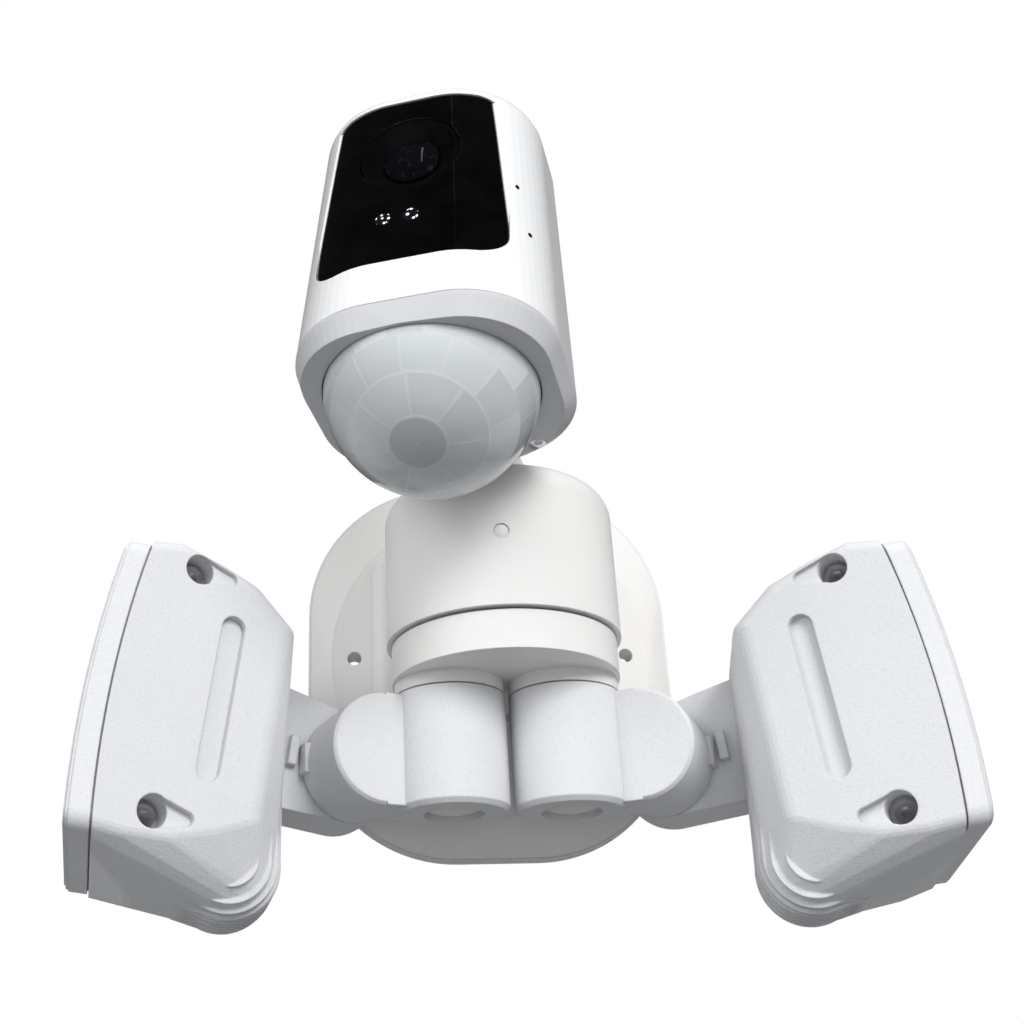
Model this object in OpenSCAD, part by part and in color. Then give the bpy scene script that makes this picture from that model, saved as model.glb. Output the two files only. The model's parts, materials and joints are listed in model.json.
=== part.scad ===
// Floodlight security camera for a wall: a domed wall plate carries a round column,
// two lamps on pan and tilt knuckles below it and a camera head on a neck in front of it.
// Millimetres. X runs right, Z up, and -Y points away from the wall.
// The origin is the middle of the wall face of the plate.

/* [Wall plate] */
// Half of the width of the wall plate
plate_hw = 59.5; // [58:0.5:62]
// Half of the height of the wall plate
plate_hh = 64; // [62:0.5:67]
// Thickness of the back lip of the plate
plate_lip = 3; // [2.5:0.5:4]
// Distance of the front of the plate from the wall
plate_front = 12; // [11.5:0.5:13]
// Radius of the ring line on the face
ring_r = 52; // [50:0.5:53]
// Distance between the two wall screw holes
hole_pitch = 88.9; // [84:0.1:90]
// Diameter of the wall screw holes
hole_d = 4.5; // [4:0.1:5]

/* [Column] */
// Distance of the column axis from the wall
col_y = 50; // [50:0.5:53]
// Outer radius of the upper sleeve
sleeve_r = 35; // [34:0.5:36]
// Height of the top of the sleeve above the plate centre
sleeve_top = 36.5; // [35:0.5:37]
// Rounding of the shoulder of the sleeve
sleeve_round = 9; // [6:0.5:10]
// Outer radius of the lower drum
drum_r = 33.5; // [33:0.5:34.5]
// Width of the shadow gap between sleeve and drum
gap_h = 0.8; // [0.5:0.1:1.2]

/* [Pan knuckles] */
// Distance of each pan axis from the middle
pan_x = 16.8; // [16.8:0.1:17.4]
// Radius of the pan cylinders
pan_r = 16.2; // [15.6:0.1:16.2]
// Forward swing of the left lamp arm at rest
pan_left = 22.8; // [16:0.1:32]
// Forward swing of the right lamp arm at rest
pan_right = 24.9; // [16:0.1:32]
// Distance of the tilt axis from the pan axis
arm = 21.4; // [21:0.1:22]
// Radius of the tilt drum
knob_r = 15.9; // [15:0.1:16]

/* [Lamps] */
// Upward tilt of the left lamp at rest
tilt_left = 8.1; // [4:0.1:12]
// Upward tilt of the right lamp at rest
tilt_right = 5.8; // [4:0.1:12]
// Thickness of the bracket arm
bracket_t = 17.5; // [15:0.5:18]
// Half of the width of the lamp at its bezel
lamp_hw = 37.7; // [37:0.1:38.5]
// Height of the lamp at its bezel
lamp_h = 78; // [77:0.5:80]
// Depth of the bezel ring
bezel_t = 7; // [6:0.5:8]
// Number of cooling ridges on the belly of each lamp
ridge_n = 13; // [9:1:13]

/* [Camera head] */
// Turn of the head to the left at rest
head_pan = 18.5; // [10:0.5:24]
// Upward tilt of the head at rest
head_tilt = 10; // [7:0.5:12]
// Radius of the motion sensor dome
dome_r = 29.6; // [28:0.1:30]
// Half of the width of the head at its lower edge
head_hw = 36.7; // [36:0.1:38]
// Height of the head above the centre of the dome
head_top = 93; // [90:0.5:96]
// Height of the lens centre above the centre of the dome
lens_h = 64.6; // [62:0.2:66]
// Radius of the outer lens ring
lens_r = 14.5; // [13.5:0.1:15]

/* [Hidden] */
$fa = 5;
$fs = 0.9;

white = [0.90, 0.90, 0.89];
grey = [0.62, 0.63, 0.64];
black = [0.05, 0.05, 0.06];
steel = [0.72, 0.72, 0.73];

plate_c = 47;              // corner radius of the plate outline
platform_hw = 38.5;        // half width of the raised platform
platform_lo = -24;
platform_hi = 30;
platform_y = 18;           // front of the platform
seam_z = -10.3;            // lower end of the sleeve
drum_lo = -22.4;           // lower end of the drum
collar_lo = -26.2;         // lower end of the two collars
pan_top = -26.6;
pan_lo = -60.1;
knob_z = -43.3;            // height of the tilt axis
knob_f = 2.3;              // disc face in front of the pan axis
knob_b = 22.5;             // back of the tilt drum
board_z = -2;              // underside of the driver board
flange_z = -10.4;          // seat of the pan stud flanges
stud_r = 5;
run = 0.05;                // running clearance on a radius
bolt_r = 4;
lamp_root = 40;            // where the bracket ends inside the back of the lamp
yaw = 13.7;                // turn of the lamp against its bracket
belly_x = 38;              // ribbed belly at the lower back of a lamp
belly_z = -40;
belly_r = 13;
belly_w = 6;
bow_r = 283;               // vertical curve of the lamp front
lamp_mid = -4.35;          // lamp centre line under the tilt axis
face_a = 19.2;             // slope of the two long side faces of a lamp
well_z = [30.9, -35.3];    // heights of the screw wells
well_r = 4.3;
bow_w = 76;                // lamp seam in front of the tilt axis
side_m = 2.6;              // lamp middle behind the tilt axis line
hinge_y = -22;             // neck hinge in front of the column axis
hinge_z = 50;
dome_y = -74;              // dome centre in front of the column axis
dome_z = 38;
shell_c = 26.6;            // corner radius of the head
shell_y = 5.6;             // head middle behind the dome centre
base_z = 6.6;              // lower edge of the shell above the dome centre
wall_t = 2.4;
led_spots = [[-6.2, 38.2], [1.6, 38.2]];

// ---------------------------------------------------------------- helpers

// rounded rectangle, w by h, centred
module rrect(w, h, r) {
  square([w - 2 * r, h], center = true);
  square([w, h - 2 * r], center = true);
  for (sx = [-1, 1], sy = [-1, 1])
    translate([sx * (w / 2 - r), sy * (h / 2 - r)]) circle(r);
}

// cylinder along -Y from distance a to distance b
module front_cyl(r, a, b) {
  translate([0, -a, 0]) rotate([90, 0, 0]) cylinder(h = b - a, r = r);
}

module at_column() { translate([0, -col_y, 0]) children(); }

module at_head_pan() { at_column() rotate([0, 0, -head_pan]) children(); }

module at_head() {
  at_head_pan() translate([0, dome_y, dome_z]) rotate([-head_tilt, 0, 0]) children();
}

module side_of(s) { if (s < 0) mirror([1, 0, 0]) children(); else children(); }

// pan frame: X along the lamp arm, -Y to the viewer
module at_pan(s) {
  phi = s < 0 ? pan_left : pan_right;
  side_of(s) translate([pan_x, -col_y, 0]) rotate([0, 0, -phi]) children();
}

// tilt frame: origin on the tilt axis
module at_tilt(s) {
  up = s < 0 ? tilt_left : tilt_right;
  at_pan(s) translate([arm, 0, knob_z]) rotate([0, -up, 0]) children();
}

// lamp frame: X to the lamp front, origin on the tilt axis
module at_lamp(s) { at_tilt(s) rotate([0, 0, yaw]) children(); }

// ---------------------------------------------------------------- wall plate

module plate_outline(inset) {
  rrect(2 * (plate_hw - inset), 2 * (plate_hh - inset), plate_c - inset);
}

module wall_plate() {
  color(white) difference() {
    union() {
      rotate([90, 0, 0]) linear_extrude(plate_lip) plate_outline(0);
      hull() {
        rotate([90, 0, 0]) translate([0, 0, plate_lip]) linear_extrude(0.9) plate_outline(0.9);
        front_cyl(ring_r + 1.5, plate_lip, plate_front - 3.6);
        front_cyl(ring_r, plate_lip, plate_front - 2.8);
      }
      intersection() {
        front_cyl(ring_r - 0.7, 2, plate_front + 1);
        translate([0, 470 - plate_front, 0]) sphere(r = 470, $fn = 180);
      }
      // raised platform behind the column
      difference() {
        translate([0, 0, (platform_lo + platform_hi) / 2])
          linear_extrude(platform_hi - platform_lo, center = true)
          translate([0, -platform_y / 2]) rrect(2 * platform_hw, platform_y, 5);
        translate([-60, -6, -60]) cube([120, 10, 120]);
      }
    }
    for (s = [-1, 1]) translate([s * hole_pitch / 2, 0, 0]) {
      front_cyl(hole_d / 2, -1, plate_front + 8);
    }
    translate([0, 0, 20]) front_cyl(1.8, 0, 14);
    // hollow back and wire entry
    front_cyl(30, -1, 7.5);
    front_cyl(13, -1, platform_y + 1);
    difference() {
      front_cyl(52, -1, 2);
      front_cyl(34, -2, 3);
      for (s = [-1, 1]) translate([s * hole_pitch / 2, 0, 0]) front_cyl(7, -2, 3);
    }
  }
}

module wall_gasket() {
  color(black) difference() {
    front_cyl(51.7, 0, 2);
    front_cyl(34.3, -1, 3);
    for (s = [-1, 1]) translate([s * hole_pitch / 2, 0, 0]) front_cyl(7.3, -2, 3);
  }
}

// ---------------------------------------------------------------- column

module column_sleeve() {
  color(white) difference() {
    union() {
      intersection() {
        at_column() rotate_extrude() {
          translate([0, seam_z]) square([sleeve_r, sleeve_top - sleeve_round - seam_z]);
          translate([0, seam_z]) square([sleeve_r - sleeve_round, sleeve_top - seam_z]);
          translate([sleeve_r - sleeve_round, sleeve_top - sleeve_round]) circle(sleeve_round);
        }
        translate([-50, -110, -50]) cube([100, 110 - platform_y, 120]);
      }
      // boss for the neck
      at_column() cylinder(h = sleeve_top + 1, r = 15);
    }
    at_column() translate([0, 0, seam_z - 1]) difference() {
      cylinder(h = sleeve_top - 4 - seam_z + 1, r = sleeve_r - 3);
      translate([0, 0, 30]) difference() {
        cylinder(h = 30, r = 60);
        translate([0, 0, -1]) cylinder(h = 40, r = sleeve_r - 9);
      }
      translate([-50, sleeve_r - 7, -5]) cube([100, 20, 80]);
    }
    at_column() cylinder(h = 60, r = 6 + run);
    translate([0, -platform_y + 1, 2]) front_cyl(11, -2, 12);
    at_pip() front_cyl(2.25, sleeve_r - 1.4, sleeve_r + 5);
  }
}

// button mark on the front of the sleeve
module at_pip() { at_column() rotate([0, 0, -4.5]) translate([0, 0, 12]) children(); }

module sleeve_pip() {
  color(white) at_pip() intersection() {
    front_cyl(2.2, sleeve_r - 1.35, sleeve_r + 0.2);
    translate([0, -sleeve_r + 4.1, 0]) sphere(r = 4.2);
  }
}

module column_base() {
  color(grey) difference() {
    union() {
      intersection() {
        at_column() translate([0, 0, drum_lo])
          cylinder(h = seam_z - gap_h - drum_lo, r = drum_r);
        translate([-50, -110, -50]) cube([100, 110 - platform_y - 2.7, 120]);
      }
      intersection() {
        at_column() translate([0, 0, drum_lo])
          cylinder(h = board_z - drum_lo, r = sleeve_r - 6);
        translate([-50, -110, -50]) cube([100, 110 - platform_y - 5, 120]);
      }
      for (s = [-1, 1]) translate([s * pan_x, -col_y, collar_lo])
        cylinder(h = 8, r = pan_r);
    }
    for (s = [-1, 1]) translate([s * pan_x, -col_y, -40]) cylinder(h = 40, r = stud_r);
    at_column() {
      difference() {
        translate([0, 0, drum_lo + 5]) cylinder(h = 40, r = 25);
        for (s = [-1, 1]) translate([s * pan_x, 0, -40]) cylinder(h = 40 + flange_z, r = 10);
        for (s = [-1, 1]) translate([s * 7, 19.5, -40]) cylinder(h = 60, r = 3.6);
      }
      for (s = [-1, 1]) translate([s * 7, 19.5, -40]) cylinder(h = 60, r = 1.6);
    }
  }
}

module column_screws() {
  color(steel) for (s = [-1, 1]) at_column() translate([s * 7, 19.5, drum_lo])
    difference() {
      union() {
        translate([0, 0, -2]) cylinder(h = 2, r = 2.9);
        translate([0, 0, -0.5]) cylinder(h = 23, r = 1.6);
      }
      translate([0, 0, -3]) cylinder(h = 2, r = 1.4, $fn = 6);
    }
}

module driver_board() {
  color([0.10, 0.32, 0.18]) at_column() translate([0, 0, board_z]) difference() {
    cylinder(h = 1.6, r = 27);
    translate([0, 0, -1]) cylinder(h = 4, r = 9);
    for (s = [-1, 1]) translate([s * 7, 19.5, -1]) cylinder(h = 4, r = 1.7);
    translate([-30, 24.5, -1]) cube([60, 20, 4]);
  }
}

module board_parts() {
  color([0.20, 0.20, 0.22]) at_column() translate([0, 0, -0.4]) {
    translate([-19, -8, 0]) cube([9, 12, 9]);
    translate([13, -12, 0]) cylinder(h = 14, r = 4);
    translate([16, -1, 0]) cylinder(h = 12, r = 3.2);
    translate([-6, -19, 0]) cube([12, 7, 6]);
    translate([-14, 9, 0]) cylinder(h = 8, r = 2.6);
  }
}

module terminal_block() {
  color([0.85, 0.85, 0.80]) translate([0, -col_y + 17.6, 4.6]) difference() {
    translate([-12, -6, -5]) cube([24, 6, 9]);
    for (i = [-1, 0, 1]) translate([i * 7.5, -3, -8]) cylinder(h = 10, r = 1.9);
    for (i = [-1, 0, 1]) translate([i * 7.5, -4, 0]) front_cyl(1.6, 0, 4);
  }
}

module earth_screw() {
  color([0.20, 0.55, 0.25]) translate([0, 0, 20]) {
    front_cyl(3.4, 5.3, 7.5);
    front_cyl(1.8, 6, 13);
  }
}

module pan_studs() {
  color(steel) for (s = [-1, 1]) translate([s * pan_x, -col_y, 0]) difference() {
    union() {
      translate([0, 0, pan_lo + 10]) cylinder(h = flange_z + 2 - pan_lo - 10, r = stud_r);
      translate([0, 0, flange_z]) cylinder(h = 3, r = 7.5);
    }
    translate([0, 0, pan_lo]) cylinder(h = 60, r = 2.5);
  }
}

module stud_nuts() {
  color(steel) for (s = [-1, 1]) translate([s * pan_x, -col_y, pan_lo + 10])
    difference() {
      cylinder(h = 4.5, r = 7.4, $fn = 6);
      translate([0, 0, -1]) cylinder(h = 8, r = stud_r);
    }
}

module pan_washers() {
  color(black) for (s = [-1, 1]) translate([s * pan_x, -col_y, collar_lo - 0.3]) difference() {
    cylinder(h = 0.3, r = 12);
    translate([0, 0, -1]) cylinder(h = 2, r = stud_r);
  }
}

// ---------------------------------------------------------------- pan knuckles

module knuckle(s) {
  color(white) at_pan(s) difference() {
    union() {
      translate([0, 0, pan_lo]) {
        cylinder(h = 1.4, r1 = pan_r - 1.2, r2 = pan_r);
        translate([0, 0, 1.4]) cylinder(h = pan_top - pan_lo - 1.4, r = pan_r);
      }
      translate([arm, 0, knob_z]) {
        rotate([90, 0, 0]) translate([0, 0, -knob_b]) cylinder(h = knob_b + knob_f - 1, r = knob_r);
        rotate([90, 0, 0]) translate([0, 0, knob_f - 1]) cylinder(h = 1, r1 = knob_r, r2 = knob_r - 0.8);
        // stop rib on the rim
        rotate([90, 0, 0]) translate([knob_r - 1, -3.5, -knob_b + 0.6]) cube([2.1, 8.5, 4.5]);
      }
      translate([0, -knob_f, knob_z - knob_r]) cube([arm, knob_b + knob_f - 7, 2 * knob_r]);
    }
    translate([0, 0, pan_lo - 1]) cylinder(h = 5, r = 8.6);
    translate([0, 0, pan_lo + 3]) cylinder(h = 12, r = 8.2);
    translate([0, 0, pan_lo - 1]) cylinder(h = 50, r = stud_r + run);
    translate([arm, 0, knob_z]) {
      front_cyl(bolt_r, -30, knob_f - 4.5);
      front_cyl(8, -knob_b - 1, -knob_b + 12);
    }
  }
}

module knuckle_left() { knuckle(-1); }

module knuckle_right() { knuckle(1); }

module pan_plug(s) {
  color(white) at_pan(s) translate([0, 0, pan_lo + 1.6]) difference() {
    union() {
      cylinder(h = 2.2, r = 8.5);
      intersection() {
        translate([0, 0, 22]) sphere(r = 23.4, $fn = 96);
        translate([0, 0, -3]) cylinder(h = 4, r = 7.8);
      }
    }
    translate([0, 0, 0.8]) cylinder(h = 4, r = 7);
  }
}

module pan_plug_left() { pan_plug(-1); }

module pan_plug_right() { pan_plug(1); }

// the bolt is fixed in the tilt drum, the bracket turns on it
module tilt_bolt(s) {
  color(steel) at_pan(s) translate([arm, 0, knob_z]) {
    front_cyl(bolt_r, -knob_b - 10, knob_f - 5);
    front_cyl(6.6, -knob_b + 8, -knob_b + 12);
  }
}

module tilt_bolt_left() { tilt_bolt(-1); }

module tilt_bolt_right() { tilt_bolt(1); }

module tilt_nut(s) {
  color(steel) at_pan(s) translate([arm, knob_b + 6.3, knob_z]) difference() {
    union() {
      rotate([-90, 0, 0]) cylinder(h = 3.2, r = 6.6, $fn = 6);
      rotate([-90, 0, 0]) cylinder(h = 0.7, r = 7.4);
    }
    front_cyl(bolt_r, -20, 20);
  }
}

module tilt_nut_left() { tilt_nut(-1); }

module tilt_nut_right() { tilt_nut(1); }

module tilt_washer(s) {
  color(black) at_pan(s) translate([arm, 0, knob_z]) difference() {
    front_cyl(14, -knob_b - 0.3, -knob_b);
    front_cyl(8, -knob_b - 2, -knob_b + 2);
  }
}

module tilt_washer_left() { tilt_washer(-1); }

module tilt_washer_right() { tilt_washer(1); }

// ---------------------------------------------------------------- lamps

// outline of the bracket arm behind the tilt drum, in the tilt frame
module arm_block() {
  root = knob_b + 0.4;
  difference() {
    union() {
      translate([0, root, 0]) rotate([-90, 0, 0]) cylinder(h = bracket_t, r = knob_r);
      translate([0, root + bracket_t, 0]) rotate([90, 0, 0]) linear_extrude(bracket_t)
        polygon([[0, -knob_r], [52, -knob_r], [52, 22], [30, 20.4], [14, 18], [5, 16.2], [0, knob_r]]);
    }
    rotate([0, 0, yaw]) translate([lamp_root, -20, -30]) cube([60, 80, 60]);
  }
}

module bracket(s) {
  root = knob_b + 0.4;
  color(white) at_tilt(s) difference() {
    union() {
      arm_block();
      // nub beside the rib of the drum
      translate([knob_r + 2.3, root - 2.6, -3.5]) cube([2.6, 3, 8.5]);
    }
    front_cyl(bolt_r + run, -80, 20);
    translate([0, root + 5.6, 0]) rotate([-90, 0, 0]) cylinder(h = 30, r = 8.4);
    translate([13, root + 6, -4]) cube([40, 5, 8]);
  }
}

module bracket_left() { bracket(-1); }

module bracket_right() { bracket(1); }

// one corner of the lamp body: a ball, or a ring of edge radius er where r is large
module lamp_post(x, out, r, er, under, over, t) {
  e = r > 2 * er ? er : r;
  lo = lamp_mid - lamp_h / 2 + e + under + t;
  hi = lamp_mid + lamp_h / 2 - e - over - t;
  for (z = [lo, hi], s = [-1, 1]) translate([x, side_m + s * (lamp_hw - out - t), z]) {
    if (r > 2 * er) rotate_extrude($fn = 32) translate([r - er, 0]) circle(er, $fn = 16);
    else sphere(r = r, $fn = 24);
  }
}

module lamp_body(t) {
  hull() {
    lamp_post(78, 2.7, 3.8, 3, 0, 0, t);
    lamp_post(66, 6.7, 3.8, 3, -0.5, -3, t);
    lamp_post(55.5, 10.2, 3.8, 3, 0.3, -0.9, t);
    lamp_post(46, 14.9, 5, 5, 3, 1.6, t);
    lamp_post(38 + t, 19.9, 7, 3, 9, 10, t);
    // ribbed belly at the lower back
    for (s = [-1, 1]) {
      translate([belly_x, side_m + s * belly_w, belly_z]) sphere(r = belly_r - t, $fn = 32);
      translate([60, side_m + s * belly_w, -43]) sphere(r = 8 - t, $fn = 24);
    }
  }
}

// cooling ridge in the plane y, standing 1 mm proud of the belly
module ridge(y) {
  over = max(0, abs(y - side_m) - belly_w);
  r = sqrt(belly_r * belly_r - over * over) + 1;
  back = belly_x - r;
  translate([0, y, 0]) rotate([90, 0, 0]) linear_extrude(1.3, center = true) {
    translate([belly_x, belly_z]) circle(r);
    polygon([[back, belly_z], [back + 4.6, -4], [44, -4], [44, belly_z]]);
    polygon([[belly_x, belly_z - r], [50, belly_z - r + 2.1], [50, belly_z], [belly_x, belly_z]]);
  }
}

module lamp_housing(s) {
  color(white) at_lamp(s) difference() {
    union() {
      intersection() {
        lamp_body(0);
        translate([bow_w - bow_r, 60, lamp_mid]) rotate([90, 0, 0])
          cylinder(h = 120, r = bow_r, $fn = 240);
      }
      for (i = [0:ridge_n - 1]) ridge(side_m + (i - (ridge_n - 1) / 2) * 2.9);
    }
    difference() {
      intersection() {
        lamp_body(3.2);
        translate([44, -60, -60]) cube([60, 120, 120]);
      }
      // bosses behind the screw wells
      at_wells() rotate([-90, 0, 0]) cylinder(h = 12.5, r = 6.2);
    }
    rotate([0, 0, -yaw]) arm_block();
    translate([36, 18, 0]) rotate([0, 90, 0]) cylinder(h = 20, r = 2.6);
    lamp_slot();
    at_wells() {
      translate([0, -8, 0]) rotate([-90, 0, 0]) cylinder(h = 17, r = well_r);
      translate([0, 2, 0]) rotate([90, 0, 0]) linear_extrude(10)
        polygon([[0, well_r], [-9, 1.9], [-9, -1.9], [0, -well_r]]);
      translate([-9, 2, 0]) rotate([90, 0, 0]) cylinder(h = 10, r = 1.9);
      rotate([-90, 0, 0]) cylinder(h = 15, r = 1.5);
    }
  }
}

// at a screw well, -Y square out of the face: f = 0 is the near face, f = 1 the far face
module at_well(z, f) {
  translate([0, f * 2 * side_m, 0]) mirror([0, f, 0])
    translate([59.6, -30.3, z]) rotate([0, 0, -face_a]) children();
}

module at_wells() {
  for (z = well_z, f = [0, 1]) at_well(z, f) children();
}

// long groove between the two screw wells
module lamp_slot() {
  translate([48, -26.4, -2.05]) rotate([0, 0, -face_a]) {
    for (z = [-19.35, 19.35]) translate([0, 2.4, z]) rotate([90, 0, 0]) cylinder(h = 9, r = 3.4);
    translate([-3.4, -6.6, -19.35]) cube([6.8, 9, 38.7]);
  }
}

module lamp_housing_left() { lamp_housing(-1); }

module lamp_housing_right() { lamp_housing(1); }

// band between two bowed faces, d in front of the seam
module bow_band(d0, d1) {
  difference() {
    translate([bow_w - bow_r, 60, lamp_mid]) rotate([90, 0, 0])
      cylinder(h = 120, r = bow_r + d1, $fn = 240);
    translate([bow_w - bow_r, 61, lamp_mid]) rotate([90, 0, 0])
      cylinder(h = 122, r = bow_r + d0, $fn = 240);
    translate([-500, -90, -150]) cube([560, 180, 300]);
  }
}

module lamp_column(inset, r) {
  translate([50, side_m, lamp_mid]) rotate([90, 0, 90]) linear_extrude(60)
    rrect(2 * (lamp_hw - inset), lamp_h - 2 * inset, r);
}

module lamp_bezel(s) {
  color(white) at_lamp(s) difference() {
    union() {
      intersection() {
        bow_band(0.5, bezel_t - 1.2);
        lamp_column(0, 4.5);
      }
      intersection() {
        bow_band(0.5, bezel_t - 0.5);
        lamp_column(0.5, 4.2);
      }
      intersection() {
        bow_band(0.5, bezel_t);
        lamp_column(1.4, 3.8);
      }
    }
    intersection() {
      bow_band(bezel_t - 2.6, bezel_t + 4);
      lamp_column(5, 4);
    }
    lamp_column(7.5, 3);
  }
}

module lamp_bezel_left() { lamp_bezel(-1); }

module lamp_bezel_right() { lamp_bezel(1); }

module lamp_gasket(s) {
  color(black) at_lamp(s) difference() {
    intersection() {
      bow_band(0.02, 0.48);
      lamp_column(0.9, 3.8);
    }
    lamp_column(2.9, 3);
  }
}

module lamp_gasket_left() { lamp_gasket(-1); }

module lamp_gasket_right() { lamp_gasket(1); }

module lamp_lens(s) {
  color([0.85, 0.90, 0.92]) at_lamp(s) intersection() {
    bow_band(bezel_t - 2.6, bezel_t - 0.8);
    lamp_column(5.2, 3.8);
  }
}

module lamp_lens_left() { lamp_lens(-1); }

module lamp_lens_right() { lamp_lens(1); }

module led_board(s) {
  color([0.92, 0.92, 0.90]) at_lamp(s) translate([57, side_m, lamp_mid]) rotate([90, 0, 90])
    linear_extrude(1.6) rrect(48, 50, 4);
}

module led_board_left() { led_board(-1); }

module led_board_right() { led_board(1); }

module led_chips(s) {
  color([0.95, 0.85, 0.35]) at_lamp(s) translate([58.6, side_m, lamp_mid])
    for (i = [-1, 0, 1], j = [-1.5:1:1.5]) translate([0, i * 13 - 1.75, j * 12 - 1.75])
      cube([0.8, 3.5, 3.5]);
}

module led_chips_left() { led_chips(-1); }

module led_chips_right() { led_chips(1); }

module reflector(s) {
  color(steel) at_lamp(s) difference() {
    translate([59.8, side_m, lamp_mid]) rotate([90, 0, 90]) linear_extrude(13.5) rrect(54, 62, 4);
    for (i = [-1, 0, 1], j = [-1.5:1:1.5]) translate([58, side_m + i * 13, lamp_mid + j * 12])
      rotate([0, 90, 0]) cylinder(h = 16, r1 = 3, r2 = 5.8, $fn = 24);
    at_wells() rotate([-90, 0, 0]) cylinder(h = 17, r = 6.6);
  }
}

module reflector_left() { reflector(-1); }

module reflector_right() { reflector(1); }

module lamp_screws(s) {
  color(steel) at_lamp(s) at_wells() difference() {
    union() {
      translate([0, 7, 0]) rotate([-90, 0, 0]) cylinder(h = 2, r = 3.2);
      translate([0, 8, 0]) rotate([-90, 0, 0]) cylinder(h = 5.5, r = 1.5);
    }
    translate([0, 6, 0]) rotate([-90, 0, 0]) cylinder(h = 2, r = 1.4, $fn = 6);
  }
}

module lamp_screws_left() { lamp_screws(-1); }

module lamp_screws_right() { lamp_screws(1); }

// ---------------------------------------------------------------- neck

module neck_swivel() {
  foot = sleeve_top + 1.4;
  color(white) at_head_pan() difference() {
    union() {
      translate([0, 0, 22]) cylinder(h = 20, r = 6);
      translate([0, 0, foot]) cylinder(h = 4.2, r = 14);
      translate([0, 0, sleeve_top - 6.8]) cylinder(h = 2.4, r = 9);
      translate([-10, hinge_y, foot]) cube([20, -hinge_y, 4.2]);
      translate([-10, -8, foot]) cube([20, 14, 10]);
      for (s = [-1, 1]) translate([s * 7.9 - 2.1, hinge_y, 0]) {
        translate([0, 0, foot]) cube([4.2, -hinge_y + 6, 10]);
        translate([0, 0, hinge_z]) rotate([0, 90, 0]) cylinder(h = 4.2, r = 6.3);
        translate([0, 0, hinge_z - 3.7]) cube([4.2, 6.3, 3.7]);
      }
    }
    translate([0, 0, 5]) cylinder(h = 60, r = 2.6);
    translate([-30, hinge_y, hinge_z]) rotate([0, 90, 0]) cylinder(h = 60, r = 2.5);
  }
}

module neck_pin() {
  color(steel) at_head_pan() translate([0, hinge_y, hinge_z]) rotate([0, 90, 0]) {
    translate([0, 0, -11.4]) cylinder(h = 22.6, r = 2.5);
    translate([0, 0, -11.4]) cylinder(h = 1.3, r = 4);
    translate([0, 0, 10.1]) cylinder(h = 1.3, r = 4, $fn = 6);
  }
}

// ---------------------------------------------------------------- camera head

// rounded square post of the head, t is the inset from the outer face
module head_body(t, lo, hi, edge) {
  taper = 0.001;
  w0 = head_hw * (1 - taper * lo) - t;
  w1 = head_hw * (1 - taper * (hi - edge)) - t;
  rc = shell_c - t;
  hull() {
    for (sx = [-1, 1], sy = [-1, 1]) {
      translate([sx * (w0 - rc), shell_y + sy * (w0 - rc), lo])
        cylinder(h = 0.5, r = rc, $fn = 64);
      translate([sx * (w1 - rc), shell_y + sy * (w1 - rc), hi - edge])
        rotate_extrude($fn = 64) translate([rc - edge, 0]) circle(edge, $fn = 24);
    }
  }
}

module panel_cut(grow) {
  translate([0, -22 + grow, 54.5]) rotate([90, 0, 0]) linear_extrude(30)
    rrect(54.4 + 2 * grow, 65.8 + 2 * grow, 8 + grow);
}

module head_shell() {
  color(white) at_head() difference() {
    head_body(0, base_z, head_top, 5);
    difference() {
      head_body(wall_t, base_z - 1, head_top - wall_t, 4);
      // ledge behind the front panel
      translate([-31, -22, 18.5]) cube([62, 2, 72]);
    }
    panel_cut(0.3);
    translate([0, 0, lens_h]) front_cyl(11, 15, 34);
    translate([-8.5, -26, 34.5]) cube([13, 10, 8]);
    translate([-6.3, 30, 0]) cube([12.6, 14, 26.8]);
    head_side() for (z = [0, 17.2]) translate([0, -0.14 * z, z])
      rotate([0, 90, 0]) cylinder(h = 9, r = 0.8);
    translate([-head_hw - 2, 8, 46]) rotate([0, 90, 0]) cylinder(h = 9, r = 3.1);
  }
}

// lowest of the two pinholes in the right wall
module head_side() { translate([head_hw - 4.6, -16.5, 34.9]) children(); }

module side_dots() {
  color(black) at_head() head_side() for (z = [0, 17.2]) translate([0, -0.14 * z, z])
    rotate([0, 90, 0]) cylinder(h = 2.6, r = 0.75);
}

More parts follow.
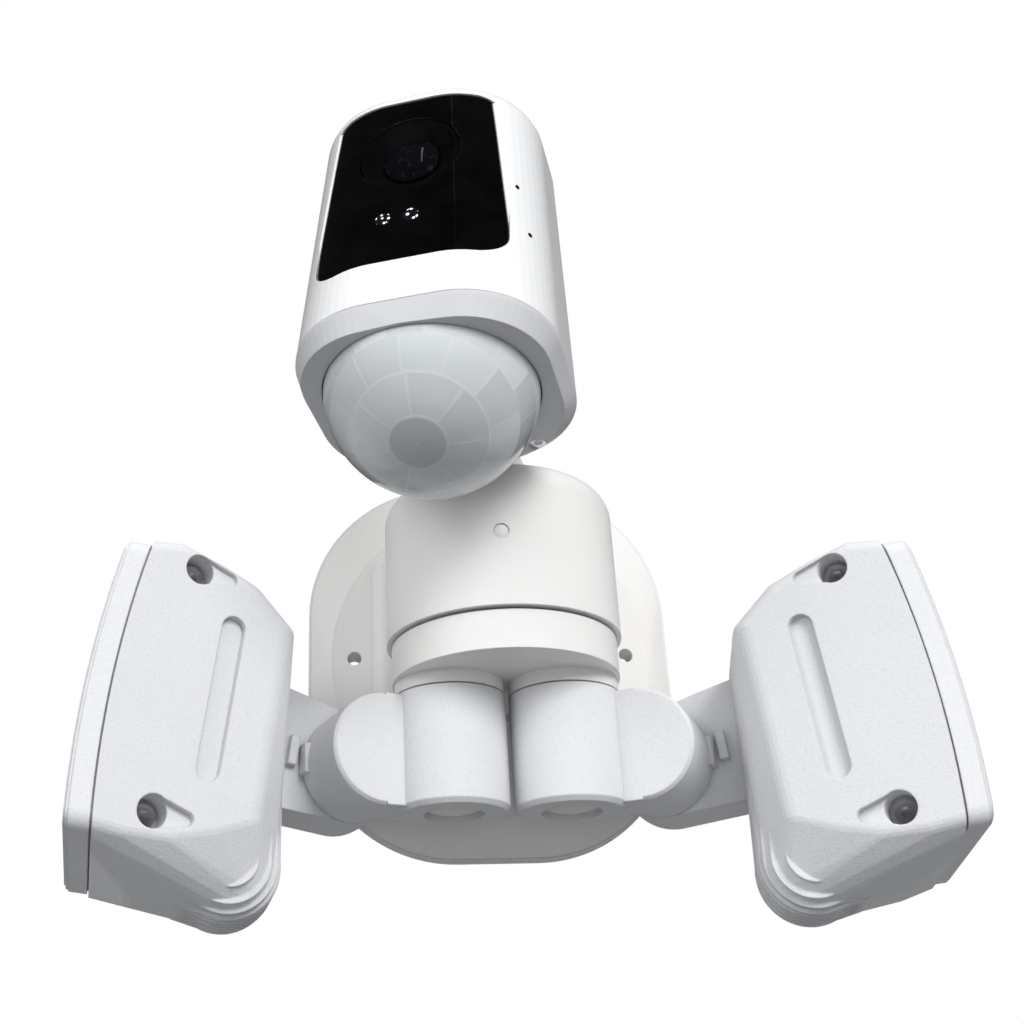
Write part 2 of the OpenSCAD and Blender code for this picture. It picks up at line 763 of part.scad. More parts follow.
// grey underside with the tongue of the hinge
module head_base() {
  dy = hinge_y - dome_y;
  dz = hinge_z - dome_z;
  hy = dy * cos(head_tilt) - dz * sin(head_tilt);
  hz = dy * sin(head_tilt) + dz * cos(head_tilt);
  color(grey) at_head() difference() {
    union() {
      difference() {
        hull() {
          for (sx = [-1, 1], sy = [-1, 1]) {
            translate([sx * (head_hw - shell_c), shell_y + sy * (head_hw - shell_c), 4.9])
              cylinder(h = base_z - 5.1, r = shell_c - 0.2, $fn = 64);
            translate([sx * 10, 2 + sy * 8, -2]) cylinder(h = 1, r = 24, $fn = 64);
          }
          translate([0, 0, -2]) cylinder(h = 4, r = dome_r + 1.1, $fn = 96);
        }
        translate([0, 0, -10]) cylinder(h = 30, r = dome_r + 0.2, $fn = 96);
      }
      // lip inside the shell
      difference() {
        translate([0, shell_y, base_z - 1]) linear_extrude(4)
          rrect(2 * (head_hw - 3.4), 2 * (head_hw - 3.4), shell_c - 3.4);
        translate([0, 1.6, base_z - 5]) cylinder(h = 20, r = dome_r - 0.8, $fn = 96);
        panel_cut(0.8);
      }
      // hinge tongue
      translate([-5.6, hy, hz]) rotate([0, 90, 0]) cylinder(h = 11.2, r = 6.2);
      translate([-5.6, 34, hz - 5]) cube([11.2, hy - 34, 10]);
      translate([-5.6, 32, 4]) cube([11.2, 10, hz + 1]);
    }
    translate([-30, hy, hz]) rotate([0, 90, 0]) cylinder(h = 60, r = 2.5 + run);
    for (s = [-1, 1]) translate([s * 23, 29, 0]) {
      translate([0, 0, -8]) cylinder(h = 9, r = 2.6);
      translate([0, 0, -3]) cylinder(h = 20, r = 1.35);
    }
  }
}

module front_panel() {
  color(black) at_head() difference() {
    intersection() {
      head_body(0.35, base_z, head_top, 5);
      panel_cut(0);
    }
    translate([0, 0, lens_h]) front_cyl(lens_r + 0.3, 24, 60);
    translate([0, 0, lens_h]) front_cyl(9.4, 15, 60);
    for (p = led_spots) translate([p[0], 0, p[1]]) front_cyl(2.3, 20, 60);
  }
}

module lens_ring() {
  color([0.12, 0.12, 0.13]) at_head() translate([0, 0, lens_h]) difference() {
    front_cyl(lens_r, 24, 27.6);
    translate([0, -24.4, 0]) rotate([90, 0, 0]) cylinder(h = 4, r1 = 8.4, r2 = lens_r);
    front_cyl(8.4, 20, 40);
  }
}

module lens_glass() {
  color([0.10, 0.12, 0.16]) at_head() translate([0, 0, lens_h]) intersection() {
    front_cyl(8.1, 22, 30);
    translate([0, -12, 0]) sphere(r = 15.5, $fn = 96);
  }
}

module lens_barrel() {
  color(black) at_head() translate([0, 0, lens_h]) {
    front_cyl(7.6, 6, 21.6);
    translate([-11, -6, -11]) cube([22, 2.4, 22]);
  }
}

module ir_leds() {
  color([0.20, 0.18, 0.24]) at_head() for (p = led_spots) translate([p[0], 0, p[1]])
    front_cyl(2.2, 25.2, 29.6);
}

module pir_dome() {
  color([0.93, 0.93, 0.92]) at_head() difference() {
    union() {
      sphere(r = dome_r, $fn = 96);
      cylinder(h = 5, r = dome_r);
    }
    sphere(r = dome_r - 1.4, $fn = 96);
    cylinder(h = 60, r = dome_r - 1.4);
    translate([-50, -50, 5]) cube([100, 100, 60]);
  }
}

module pir_sensor() {
  color(steel) at_head() translate([0, 0, 3]) {
    translate([0, 0, 1]) cylinder(h = 4.6, r = 4.6);
    translate([0, 0, 0]) cylinder(h = 1.4, r = 4.1);
    for (s = [-1, 1]) translate([s * 2, 0, 4]) cylinder(h = 7, r = 0.5);
  }
}

module main_board() {
  color([0.10, 0.32, 0.18]) at_head() difference() {
    translate([-24, 1.2, 14]) cube([48, 1.6, 68]);
    translate([-40, 0, 0]) cube([20, 10, 30]);
  }
}

module speaker() {
  color([0.16, 0.16, 0.17]) at_head() translate([0, 10, 62]) rotate([-90, 0, 0]) difference() {
    union() {
      cylinder(h = 6, r = 13);
      translate([0, 0, 6]) cylinder(h = 5, r = 8);
    }
    translate([0, 0, -1]) cylinder(h = 3, r1 = 11, r2 = 5);
  }
}

module microphone() {
  color(steel) at_head() difference() {
    translate([8, -0.3, 24]) cube([4.4, 1.5, 3.2]);
    translate([10.2, 0, 25.6]) front_cyl(0.4, -0.6, 2);
  }
}

module card_reader() {
  color(steel) at_head() difference() {
    translate([-22, 2.8, 18]) cube([14, 2.2, 15]);
    translate([-20.5, 3.3, 17]) cube([11, 1.0, 14]);
  }
}

// button in the left wall of the shell, pressed along +X
module reset_button() {
  color(white) at_head() translate([-head_hw + 1.3, 8, 46]) rotate([0, 90, 0]) {
    cylinder(h = 7, r = 2.7);
    translate([0, 0, 3.6]) cylinder(h = 1.2, r = 4.4);
  }
}

module head_screws() {
  color(steel) at_head() for (s = [-1, 1]) translate([s * 23, 29, 1]) difference() {
    union() {
      translate([0, 0, -2]) cylinder(h = 2, r = 2.5);
      translate([0, 0, -1]) cylinder(h = 9, r = 1.3);
    }
    translate([0, 0, -3]) cylinder(h = 2, r = 1.3, $fn = 6);
  }
}

// ---------------------------------------------------------------- output

wall_plate();
wall_gasket();
column_sleeve();
column_base();
sleeve_pip();
column_screws();
driver_board();
board_parts();
terminal_block();
earth_screw();
pan_studs();
stud_nuts();
pan_washers();
neck_swivel();
neck_pin();
head_shell();
head_base();
front_panel();
lens_ring();
lens_glass();
lens_barrel();
ir_leds();
pir_dome();
pir_sensor();
main_board();
speaker();
microphone();
card_reader();
side_dots();
reset_button();
head_screws();
knuckle_left();
pan_plug_left();
tilt_bolt_left();
tilt_nut_left();
tilt_washer_left();
bracket_left();
lamp_housing_left();
lamp_bezel_left();
lamp_lens_left();
lamp_gasket_left();
reflector_left();
led_board_left();
led_chips_left();
lamp_screws_left();
knuckle_right();
pan_plug_right();
tilt_bolt_right();
tilt_nut_right();
tilt_washer_right();
bracket_right();
lamp_housing_right();
lamp_bezel_right();
lamp_lens_right();
lamp_gasket_right();
reflector_right();
led_board_right();
led_chips_right();
lamp_screws_right();
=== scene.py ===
import json
import math

import bpy
from mathutils import Euler, Matrix, Vector


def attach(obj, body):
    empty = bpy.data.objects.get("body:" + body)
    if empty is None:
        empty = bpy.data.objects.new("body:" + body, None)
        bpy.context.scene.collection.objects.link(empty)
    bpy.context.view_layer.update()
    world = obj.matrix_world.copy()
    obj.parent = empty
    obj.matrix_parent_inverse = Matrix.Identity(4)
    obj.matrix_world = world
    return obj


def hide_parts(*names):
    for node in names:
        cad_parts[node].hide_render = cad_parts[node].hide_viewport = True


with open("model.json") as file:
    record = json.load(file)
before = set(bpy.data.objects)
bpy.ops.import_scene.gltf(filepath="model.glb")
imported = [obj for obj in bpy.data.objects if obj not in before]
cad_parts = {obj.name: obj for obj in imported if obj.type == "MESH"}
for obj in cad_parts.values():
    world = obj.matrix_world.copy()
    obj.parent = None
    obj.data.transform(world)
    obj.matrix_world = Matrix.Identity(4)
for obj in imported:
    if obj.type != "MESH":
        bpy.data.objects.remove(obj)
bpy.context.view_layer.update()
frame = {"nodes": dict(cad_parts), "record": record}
record = frame["record"]
nodes = frame["nodes"]
scene = bpy.context.scene

# ------------------------------------------------------------ node helpers


class Mat:
    """A node material with one Principled shader, built step by step."""

    def __init__(self, name):
        self.m = bpy.data.materials.new(name)
        self.m.use_nodes = True
        self.t = self.m.node_tree
        self.t.nodes.clear()
        self.out = self.n("ShaderNodeOutputMaterial")
        self.p = self.n("ShaderNodeBsdfPrincipled")
        self.link(self.p.outputs[0], self.out.inputs[0])
        self.pos = self.n("ShaderNodeTexCoord").outputs["Object"]

    def n(self, kind, **kw):
        x = self.t.nodes.new(kind)
        for k, v in kw.items():
            setattr(x, k, v)
        return x

    def link(self, a, b):
        self.t.links.new(a, b)

    def put(self, socket, value):
        if isinstance(value, bpy.types.NodeSocket):
            self.link(value, socket)
        else:
            socket.default_value = value

    def math(self, op, a, b=0.0):
        x = self.n("ShaderNodeMath", operation=op)
        self.put(x.inputs[0], a)
        self.put(x.inputs[1], b)
        return x.outputs[0]

    def times(self, a, b):
        return self.math("MULTIPLY", a, b)

    def add(self, a, b):
        """a + b, where a may be None for nothing yet."""
        return b if a is None else self.math("ADD", a, b)

    def vec(self, op, a, b=(0, 0, 0)):
        x = self.n("ShaderNodeVectorMath", operation=op)
        self.put(x.inputs[0], a)
        self.put(x.inputs[1], b)
        return x.outputs["Value"] if op == "DOT_PRODUCT" else x.outputs[0]

    def noise(self, scale, detail=3.0, rough=0.5, vector=None):
        x = self.n("ShaderNodeTexNoise")
        self.put(x.inputs["Vector"], vector or self.pos)
        x.inputs["Scale"].default_value = scale
        x.inputs["Detail"].default_value = detail
        x.inputs["Roughness"].default_value = rough
        return x.outputs["Fac"]

    def cells(self, scale, feature="F1"):
        x = self.n("ShaderNodeTexVoronoi", feature=feature)
        self.link(self.pos, x.inputs["Vector"])
        x.inputs["Scale"].default_value = scale
        return x

    def mix(self, fac, a, b):
        x = self.n("ShaderNodeMix", data_type="RGBA", blend_type="MIX")
        self.put(x.inputs[0], fac)
        for s, v in ((x.inputs[6], a), (x.inputs[7], b)):
            self.put(s, v if isinstance(v, bpy.types.NodeSocket) else (*v[:3], 1))
        return x.outputs[2]

    def span(self, fac, lo, hi, frm=0.0, to=1.0):
        """fac from frm to to, stretched to lo to hi and held there outside."""
        x = self.n("ShaderNodeMapRange", clamp=True)
        self.put(x.inputs[0], fac)
        for s, v in zip(list(x.inputs)[1:5], (frm, to, lo, hi)):
            s.default_value = v
        return x.outputs[0]

    def bump(self, height, strength, distance, normal=None):
        x = self.n("ShaderNodeBump")
        self.put(x.inputs["Height"], height)
        x.inputs["Strength"].default_value = strength
        x.inputs["Distance"].default_value = distance
        if normal is not None:
            self.link(normal, x.inputs["Normal"])
        return x.outputs[0]

    def soft_edge(self, radius):
        x = self.n("ShaderNodeBevel", samples=4)
        x.inputs["Radius"].default_value = radius
        return x.outputs[0]

    def painted_hollow_shade(self, colour, base, reach, most, shade):
        """colour, darkened by painted shade in hollows narrower than reach, down to shade times base."""
        # painted shade: ambient occlusion darkens the colour in hollows
        ao = self.n("ShaderNodeAmbientOcclusion", samples=4)
        ao.inputs["Distance"].default_value = reach
        return self.mix(self.span(ao.outputs["AO"], most, 0.0, 0.25, 0.85), colour, scaled(base, shade))

    def set(self, **kw):
        for k, v in kw.items():
            self.put(self.p.inputs[k.replace("_", " ")], v)


def scaled(colour, k, more=0.0):
    return tuple(b * k + more for b in colour)


# ------------------------------------------------------------ kinds of material

PLASTIC_IOR = 1.5


def moulded(
    name, base, rough, grain, depth, edge=0.0005, warm=(1.0, 0.985, 0.965), coat=0.0, dirt=0.05
):
    """Moulded surface: mottled tone, fine grain, softened edges and painted shade darkening the hollows."""
    m = Mat(name)
    cloud = m.noise(28, 4, 0.55)
    spot = m.noise(240, 3, 0.6)
    tint = tuple(b * w for b, w in zip(base, warm))
    col = m.mix(m.span(cloud, 0.0, 1.0, 0.35, 0.68), base, tint)
    col = m.mix(m.span(spot, 0.0, dirt, 0.52, 0.80), col, scaled(base, 0.72))
    # painted shade darkens the colour in the hollows
    m.set(Base_Color=m.painted_hollow_shade(col, base, 0.004, 0.30, 0.60))
    m.set(Roughness=m.span(m.noise(90, 3, 0.6), rough - 0.05, rough + 0.07))
    wave = m.bump(m.noise(60, 2), 0.08, 0.0006, m.soft_edge(edge))
    m.set(Normal=m.bump(m.noise(grain, 2, 0.6), 0.35, depth, wave))
    m.set(Coat_Weight=coat, Coat_Roughness=0.12, IOR=PLASTIC_IOR)
    return m.m


def powder(name, base):
    """Powder coat: a fine raised grain with darker pits between and a few scuffs."""
    m = Mat(name)
    cell = m.cells(1500)
    grain = m.noise(1300, 2, 0.65)
    cool = tuple(b * w for b, w in zip(base, (0.975, 0.985, 1.0)))
    col = m.mix(m.span(m.noise(22, 4, 0.6), 0.0, 1.0, 0.38, 0.66), base, cool)
    col = m.mix(m.span(grain, 0.0, 0.30, 0.50, 0.78), col, scaled(base, 0.70))
    patch = m.span(m.noise(36, 5, 0.7), 0, 0.35, 0.66, 0.74)
    streak = m.span(m.noise(420, 2, 0.7), 0, 0.28, 0.45, 0.6)
    col = m.mix(m.times(patch, streak), col, (0.42, 0.40, 0.37))
    # painted shade darkens the colour in the hollows
    m.set(Base_Color=m.painted_hollow_shade(col, base, 0.005, 0.35, 0.58))
    m.set(Roughness=m.span(grain, 0.42, 0.60, 0.3, 0.7))
    height = m.add(grain, m.times(cell.outputs["Distance"], 0.4))
    wave = m.bump(m.noise(45, 2), 0.10, 0.0008, m.soft_edge(0.0007))
    m.set(Normal=m.bump(height, 0.45, 0.00016, wave))
    return m.m


def metal(name, base, rough, scale=(60, 1500, 60)):
    """Plated metal with a fine directional brush and dull patches."""
    m = Mat(name)
    mp = m.n("ShaderNodeMapping")
    m.link(m.pos, mp.inputs["Vector"])
    mp.inputs["Scale"].default_value = scale
    brush = m.noise(1.0, 3, 0.6, mp.outputs[0])
    dull = m.noise(180, 3, 0.6)
    m.set(Base_Color=m.mix(m.span(dull, 0, 0.5, 0.45, 0.75), base, scaled(base, 0.6)))
    m.set(Metallic=1.0, Roughness=m.span(brush, rough - 0.06, rough + 0.14))
    m.set(Normal=m.bump(brush, 0.15, 0.0001, m.soft_edge(0.0003)))
    return m.m


def board(name, base, line):
    """Circuit board: solder mask over a net of fine tracks."""
    m = Mat(name)
    b = m.n("ShaderNodeTexBrick")
    m.link(m.pos, b.inputs["Vector"])
    b.inputs["Scale"].default_value = 260
    b.inputs["Mortar Size"].default_value = 0.03
    b.inputs["Color1"].default_value = (*base, 1)
    b.inputs["Color2"].default_value = (*scaled(base, 0.85), 1)
    b.inputs["Mortar"].default_value = (*line, 1)
    m.set(Base_Color=m.mix(m.span(m.noise(90), 0, 0.4), b.outputs["Color"], scaled(base, 0.7)))
    m.set(Roughness=m.span(m.noise(300), 0.28, 0.45))
    m.set(Normal=m.bump(b.outputs["Fac"], 0.3, 0.0001))
    return m.m


def gloss_black(name):
    """Polished black cover with a faint haze, fingerprints and orange peel."""
    m = Mat(name)
    smear = m.noise(70, 5, 0.65)
    haze = m.span(smear, 0, 1, 0.4, 0.8)
    m.set(Base_Color=m.mix(haze, (0.0010, 0.0010, 0.0012), (0.0030, 0.0030, 0.0034)))
    m.set(Roughness=m.span(smear, 0.035, 0.11, 0.4, 0.75))
    m.set(IOR=PLASTIC_IOR, Coat_Weight=0.3, Coat_Roughness=0.03)
    m.set(Normal=m.bump(m.noise(38, 2, 0.4), 0.16, 0.0007, m.soft_edge(0.0005)))
    return m.m


def rubber(name, base):
    m = Mat(name)
    m.set(Base_Color=m.mix(m.span(m.noise(150, 4), 0, 1, 0.4, 0.7), base, scaled(base, 1.8, 0.002)))
    m.set(Roughness=m.span(m.noise(300), 0.55, 0.78))
    m.set(Normal=m.bump(m.noise(900, 2), 0.3, 0.0001, m.soft_edge(0.0004)))
    return m.m


def dull_black(name, base, rough, shine):
    """Black surface that hardly mirrors."""
    m = Mat(name)
    m.set(Base_Color=m.mix(m.span(m.noise(160, 4), 0, 1, 0.4, 0.7), base, scaled(base, 2.0)))
    m.set(Roughness=m.span(m.noise(300), rough, rough + 0.15), Specular_IOR_Level=shine)
    m.set(Normal=m.bump(m.noise(900, 2), 0.2, 0.00005, m.soft_edge(0.0003)))
    return m.m


def led_cluster(name):
    """Small bright spots on a black carrier, glowing a little: painted glints on the LEDs."""
    m = Mat(name)
    v = m.cells(620)
    v.inputs["Randomness"].default_value = 0.55
    glint_spot = m.span(v.outputs["Distance"], 1.0, 0.0, 0.24, 0.36)
    # painted glints: bright colour and a faint glow on the spots stand in for reflections
    m.set(Base_Color=m.mix(glint_spot, (0.006, 0.006, 0.008), (0.90, 0.92, 0.98)))
    m.set(Emission_Color=m.mix(glint_spot, (0, 0, 0), (0.85, 0.90, 1.0)), Emission_Strength=0.7)
    m.set(Roughness=m.span(m.noise(300), 0.3, 0.45))
    return m.m


def glass(name, tint, rough, clear):
    """Coated glass: thin tint, faint dust and a clear gloss."""
    m = Mat(name)
    dust = m.noise(500, 4, 0.7)
    m.set(Base_Color=m.mix(m.span(dust, 0, 0.04, 0.55, 0.8), tint, (0.55, 0.55, 0.58)))
    m.set(Roughness=m.span(dust, rough, rough + 0.08, 0.4, 0.8))
    m.set(IOR=1.5, Transmission_Weight=clear, Coat_Weight=0.6)
    m.set(Normal=m.bump(m.noise(60, 2), 0.05, 0.0003))
    return m.m


def lamp_lens(name):
    """Frosted lamp cover with a prism net pressed into it."""
    m = Mat(name)
    net = m.cells(330, "SMOOTH_F1").outputs["Distance"]
    m.set(Base_Color=m.mix(m.span(m.noise(40), 0, 0.5), (0.88, 0.90, 0.92), (0.80, 0.83, 0.86)))
    m.set(Roughness=m.span(net, 0.22, 0.40))
    m.set(IOR=1.49, Transmission_Weight=0.55)
    m.set(Normal=m.bump(net, 0.5, 0.0005))
    return m.m


DOME_MM = 30.0  # radius over which the facets of the dome are drawn
GROOVES_PER_MM = 1.35
# first and last angle from the pole in degrees, facets in the ring, turn as a share of the circle
RINGS = (
    (0, 15.0, 1, 0.0),
    (15.0, 37.0, 7, 0.21),
    (37.0, 58.0, 11, 0.05),
    (58.0, 76.0, 16, 0.4),
    (76.0, 130.0, 22, 0.13),
)
FACET_LIGHT, FACET_DARK = (0.640, 0.672, 0.695), (0.470, 0.500, 0.522)
DOME_DEEP, DOME_DISC = (0.44, 0.47, 0.495), (0.39, 0.42, 0.45)
DOME_EDGE, DOME_RIM = (0.72, 0.75, 0.77), (0.66, 0.68, 0.69)


def dome_ring(m, theta, turn, i):
    """Tone, edge and groove height of ring i, all 0 outside the ring."""
    low, high, count, shift = RINGS[i]
    a, b = math.radians(low), math.radians(high)
    inside = m.times(m.math("GREATER_THAN", theta, a), m.math("LESS_THAN", theta, b))
    cell = m.times(m.add(turn, shift), float(count))
    frac = m.math("FRACT", cell)
    comb = m.n("ShaderNodeCombineXYZ")
    m.put(comb.inputs[0], m.math("FLOOR", cell))
    m.put(comb.inputs[1], float(i) + 0.5)
    rnd = m.n("ShaderNodeTexWhiteNoise", noise_dimensions="2D")
    m.link(comb.outputs[0], rnd.inputs["Vector"])
    tone = m.times(rnd.outputs["Value"], inside)

    # distance to the nearest edge of the facet, and its grooves round the middle of the facet
    facet_mm = 2 * math.pi / count * DOME_MM * math.sin((a + b) / 2)
    to_ends = m.math("MINIMUM", m.math("SUBTRACT", theta, a), m.math("SUBTRACT", b, theta))
    near = m.times(to_ends, DOME_MM)
    u, middle = 0.0, 0.0
    if i:
        side = m.math("MINIMUM", frac, m.math("SUBTRACT", 1.0, frac))
        near = m.math("MINIMUM", m.times(side, facet_mm), near)
        u = m.times(m.math("SUBTRACT", frac, 0.5), facet_mm)
        middle = (a + b) / 2
    edge = m.times(m.math("SUBTRACT", 1.0, m.span(near, 0.0, 1.0, 0.08, 0.65)), inside)
    v = m.times(m.math("SUBTRACT", theta, middle), DOME_MM)
    far = m.math("SQRT", m.math("ADD", m.times(u, u), m.times(v, v)))
    groove = m.times(m.math("FRACT", m.times(far, GROOVES_PER_MM)), inside)
    return tone, edge, groove


def fresnel_dome(name, centre, pole, side):
    """Milky sensor dome with rings of Fresnel facets around its pole."""
    m = Mat(name)
    fwd = pole.cross(side)
    d = m.vec("NORMALIZE", m.vec("SUBTRACT", m.pos, tuple(centre)))
    theta = m.math("ARCCOSINE", m.vec("DOT_PRODUCT", d, tuple(pole)))
    across, along = (m.vec("DOT_PRODUCT", d, tuple(way)) for way in (side, fwd))
    azimuth = m.math("ARCTAN2", across, along)
    turn = m.math("ADD", m.math("DIVIDE", azimuth, 2 * math.pi), 0.5)
    tone, edge, groove = None, None, None
    for i in range(len(RINGS)):
        t, e, g = dome_ring(m, theta, turn, i)
        tone, edge, groove = m.add(tone, t), m.add(edge, e), m.add(groove, g)

    polar = m.span(theta, 1.0, 0.0, math.radians(13.6), math.radians(15.6))
    deep = m.span(theta, 0.55, 0.0, math.radians(14), math.radians(60))
    rim = m.span(theta, 0.0, 0.55, math.radians(78), math.radians(100))
    col = m.mix(m.span(tone, 0.0, 0.62, 0.1, 1.0), FACET_LIGHT, FACET_DARK)
    col = m.mix(deep, col, DOME_DEEP)
    col = m.mix(polar, col, DOME_DISC)
    col = m.mix(m.times(edge, 0.30), col, DOME_EDGE)
    m.set(Base_Color=m.mix(rim, col, DOME_RIM))
    m.set(Roughness=m.span(m.noise(120, 3), 0.20, 0.30))
    m.set(IOR=1.45, Coat_Weight=0.7, Coat_Roughness=0.05)
    m.set(Subsurface_Weight=0.35, Subsurface_Scale=0.003, Subsurface_Radius=(1.0, 1.0, 1.0))
    m.set(Normal=m.bump(edge, 0.22, 0.00022, m.bump(groove, 0.05, 0.00008)))
    return m.m


# ------------------------------------------------------------ the frame of the head

COLUMN_AXIS = Vector((0, -0.050, 0))
DOME_ON_HEAD = Vector((0, -0.074, 0.038))
HEAD_TURN = Matrix.Rotation(math.radians(-18.5), 4, "Z")
HEAD_TILT = Matrix.Rotation(math.radians(-10.0), 4, "X")
DOME_POLE = (0, -0.40, -0.917)

head_rot = HEAD_TURN @ HEAD_TILT
dome_centre = HEAD_TURN @ DOME_ON_HEAD + COLUMN_AXIS
head_space = Matrix.Translation(dome_centre) @ head_rot


def head_dir(v):
    return (head_rot @ Vector(v)).normalized()


# ------------------------------------------------------------ materials

COOL = (0.98, 0.99, 1.0)
MATS = {
    "white_plastic": moulded("white_plastic", (0.80, 0.80, 0.795), 0.42, 1600, 0.00006),
    "white_coat": powder("white_coat", (0.735, 0.742, 0.758)),
    "gloss_white": moulded(
        "gloss_white", (0.82, 0.825, 0.83), 0.30, 1900, 0.00003, warm=(0.985, 0.99, 1.0), coat=0.25, dirt=0.02
    ),
    # grey_plastic is a darker copy of the white plastic: painted shade for the shaded underside of the head
    # base
    "grey_plastic": moulded("grey_plastic", (0.56, 0.565, 0.58), 0.46, 1500, 0.00008, warm=COOL),
    "gloss_black": gloss_black("gloss_black"),
    "matte_black": rubber("matte_black", (0.004, 0.004, 0.005)),
    "optic_glass": glass("optic_glass", (0.003, 0.003, 0.005), 0.03, 0.15),
    "lamp_glass": lamp_lens("lamp_glass"),
    "ring_black": dull_black("ring_black", (0.0015, 0.0015, 0.0018), 0.42, 0.12),
    "pale_rubber": moulded("pale_rubber", (0.42, 0.43, 0.45), 0.6, 1400, 0.00005),
    "led_cluster": led_cluster("led_cluster"),
    "steel": metal("steel", (0.66, 0.66, 0.67), 0.30),
    "brass": metal("brass", (0.74, 0.58, 0.26), 0.32),
    "rubber": rubber("rubber", (0.03, 0.03, 0.03)),
    "board_green": board("board_green", (0.02, 0.13, 0.06), (0.05, 0.24, 0.10)),
    "board_white": board("board_white", (0.80, 0.80, 0.78), (0.55, 0.53, 0.45)),
    "reflector_chrome": metal("reflector_chrome", (0.86, 0.86, 0.87), 0.10, (40, 40, 40)),
    "phosphor": moulded("phosphor", (0.86, 0.70, 0.16), 0.55, 1200, 0.00008),
    "milky_dome": fresnel_dome("milky_dome", dome_centre, head_dir(DOME_POLE), head_dir((1, 0, 0))),
}
# pieces that look different from the rest of their slot
OVERRIDE = {
    "column_base": "white_plastic",
    "lens_ring": "ring_black",
    "lamp_gasket_left": "pale_rubber",
    "lamp_gasket_right": "pale_rubber",
    "ir_leds": "led_cluster",
}
for part in record["subparts"]:
    node = nodes[part["node"]]
    mat = MATS[OVERRIDE.get(part["node"], part["material_slot"])]
    node.data.materials.clear()
    node.data.materials.append(mat)

# ------------------------------------------------------------ pinholes in the side of the head

DOT_R, DOT_DEEP, DOT_PROUD = 0.00075, 0.0006, 0.0002
# y and z of the two pinholes in the frame of the head
DOT_PLACES = ((-0.0165, 0.0349), (-0.0189, 0.0521))
OUTSIDE_HEAD = 0.060


def right_wall(y, z):
    """Place and outward direction of the right wall of the head, in the frame of the head."""
    shell = nodes["head_shell"]
    to_shell = shell.matrix_world.inverted() @ head_space
    start = to_shell @ Vector((OUTSIDE_HEAD, y, z))
    way = (to_shell @ Vector((0.0, y, z)) - start).normalized()
    _, place, out, _ = shell.ray_cast(start, way)
    back = to_shell.inverted()
    return back @ place, (back.to_3x3() @ out).normalized()


bpy.context.view_layer.update()
for i, (y, z) in enumerate(DOT_PLACES):
    # measured just above the hole, where the wall is whole
    place, out = right_wall(y, z + 2 * DOT_R)
    place.z = z
    seat = Matrix.Translation(place + out * (DOT_PROUD - DOT_DEEP / 2))
    # each pinhole is drawn as a black disc just proud of the wall: painted shade standing in for the dark
    # inside of the hole
    bpy.ops.mesh.primitive_cylinder_add(vertices=24, radius=DOT_R, depth=DOT_DEEP)
    dot = bpy.context.object
    dot.name = "pinhole_shade_disc_" + str(i)
    dot.matrix_world = head_space @ seat @ out.to_track_quat("Z", "Y").to_matrix().to_4x4()
    dot.data.materials.append(MATS["matte_black"])
    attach(dot, "head")
    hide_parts("side_dots")

# ------------------------------------------------------------ floor

FLOOR_Z, FLOOR_SIZE = -0.62, 14
FLOOR_LIGHT, FLOOR_DARK = (0.86, 0.86, 0.86), (0.80, 0.80, 0.805)

bpy.ops.mesh.primitive_plane_add(size=FLOOR_SIZE, location=(0, 0, FLOOR_Z))
floor = bpy.context.object
floor.name = "floor"
fm = Mat("floor_pale")
fm.set(Base_Color=fm.mix(fm.span(fm.noise(3), 0, 1), FLOOR_LIGHT, FLOOR_DARK))
fm.set(Roughness=fm.span(fm.noise(8), 0.75, 0.9))
floor.data.materials.append(fm.m)
# the pale floor would light the underside of the lamps too much
floor.visible_diffuse = False

# ------------------------------------------------------------ world

SEEN, SKY, ROOM = 1.0, 0.62, 0.015
# height above the horizon from 0, straight down, to 1, straight up, and the colour there
SKY_STOPS = ((0.40, (0.26, 0.264, 0.272, 1)), (0.70, (1, 1, 1, 1)))

world = bpy.data.worlds.new("studio")
scene.world = world
world.use_nodes = True
wt = world.node_tree
wt.nodes.clear()


def background(strength):
    b = wt.nodes.new("ShaderNodeBackground")
    b.inputs[0].default_value = (1, 1, 1, 1)
    b.inputs[1].default_value = strength
    return b.outputs[0]


def choose(flag, no, yes):
    x = wt.nodes.new("ShaderNodeMixShader")
    for s, v in zip(x.inputs, (flag, no, yes)):
        wt.links.new(v, s)
    return x.outputs[0]


coord = wt.nodes.new("ShaderNodeTexCoord")
sep = wt.nodes.new("ShaderNodeSeparateXYZ")
wt.links.new(coord.outputs["Generated"], sep.inputs[0])
rise = wt.nodes.new("ShaderNodeMath")
rise.operation = "MULTIPLY_ADD"
rise.inputs[1].default_value = 0.5
rise.inputs[2].default_value = 0.5
wt.links.new(sep.outputs[2], rise.inputs[0])
grad = wt.nodes.new("ShaderNodeValToRGB")
for stop, (at, colour) in zip(grad.color_ramp.elements, SKY_STOPS):
    stop.position = at
    stop.color = colour
wt.links.new(rise.outputs[0], grad.inputs[0])
sky = background(SKY)
wt.links.new(grad.outputs[0], sky.node.inputs[0])
ray = wt.nodes.new("ShaderNodeLightPath")
# reflections see a dim room, so that the black panel stays black, and the camera sees white
lit = choose(ray.outputs["Is Glossy Ray"], sky, background(ROOM))
world_out = wt.nodes.new("ShaderNodeOutputWorld")
wt.links.new(choose(ray.outputs["Is Camera Ray"], lit, background(SEEN)), world_out.inputs[0])

# ------------------------------------------------------------ lights

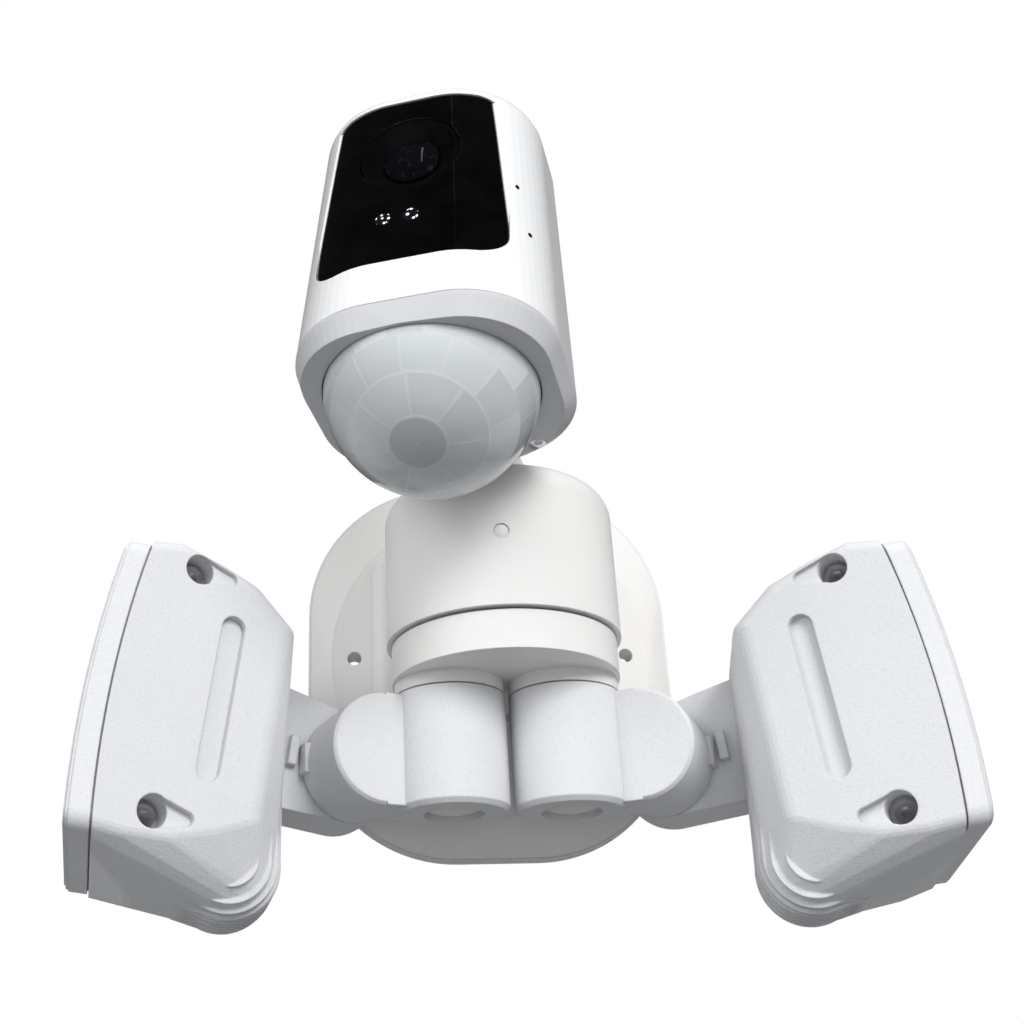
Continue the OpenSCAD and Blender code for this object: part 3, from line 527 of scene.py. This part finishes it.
AIM, TUBE_AIM = (0, -0.05, 0.0), (0, -0.08, 0.05)
# name: place, aim, width and height, watts, seen in reflections
LIGHTS = {
    "key": ((0.50, -1.25, 0.60), AIM, (0.6, 0.6), 15.5, False),
    "fill": ((-1.20, -0.85, 0.50), AIM, (0.9, 0.9), 8.5, False),
    "tube": ((-0.10, -0.75, 1.05), TUBE_AIM, (0.04, 0.9), 0.12, True),
    "low": ((-0.1, -1.2, -0.35), AIM, (0.5, 0.5), 1.7, False),
}
for name, (at, aim, (wide, high), watts, mirrored) in LIGHTS.items():
    lamp = bpy.data.lights.new(name, "AREA")
    lamp.shape = "RECTANGLE"
    lamp.size = wide
    lamp.size_y = high
    lamp.energy = watts
    light = bpy.data.objects.new(name, lamp)
    scene.collection.objects.link(light)
    light.location = at
    light.visible_glossy = mirrored
    light.rotation_mode = "QUATERNION"
    light.rotation_quaternion = (Vector(aim) - Vector(at)).to_track_quat("-Z", "Y")

# ------------------------------------------------------------ camera, below the lamp and close to it

CAM_AT = (-0.0461, -0.4633, -0.1548)
CAM_AZ, CAM_EL, CAM_ROLL = (math.radians(v) for v in (-3.186, -28.132, -1.718))
SENSOR, FOCAL = 36, 51.047
SHIFT_X, SHIFT_Y = 0.090, -0.090

cam_data = bpy.data.cameras.new("camera")
cam = bpy.data.objects.new("camera", cam_data)
scene.collection.objects.link(cam)
scene.camera = cam
cam_data.sensor_width = SENSOR
cam_data.lens = FOCAL
cam_data.shift_x = SHIFT_X
cam_data.shift_y = SHIFT_Y
cam_data.clip_start, cam_data.clip_end = 0.02, 50
level = math.cos(CAM_EL)
ahead = Vector((-math.sin(CAM_AZ) * level, math.cos(CAM_AZ) * level, -math.sin(CAM_EL)))
cam.location = CAM_AT
cam.rotation_mode = "QUATERNION"
cam.rotation_quaternion = ahead.to_track_quat("-Z", "Y") @ Euler((0, 0, CAM_ROLL)).to_quaternion()

scene.view_settings.view_transform = "Standard"
scene.view_settings.look = "None"
scene.view_settings.exposure = 0.0
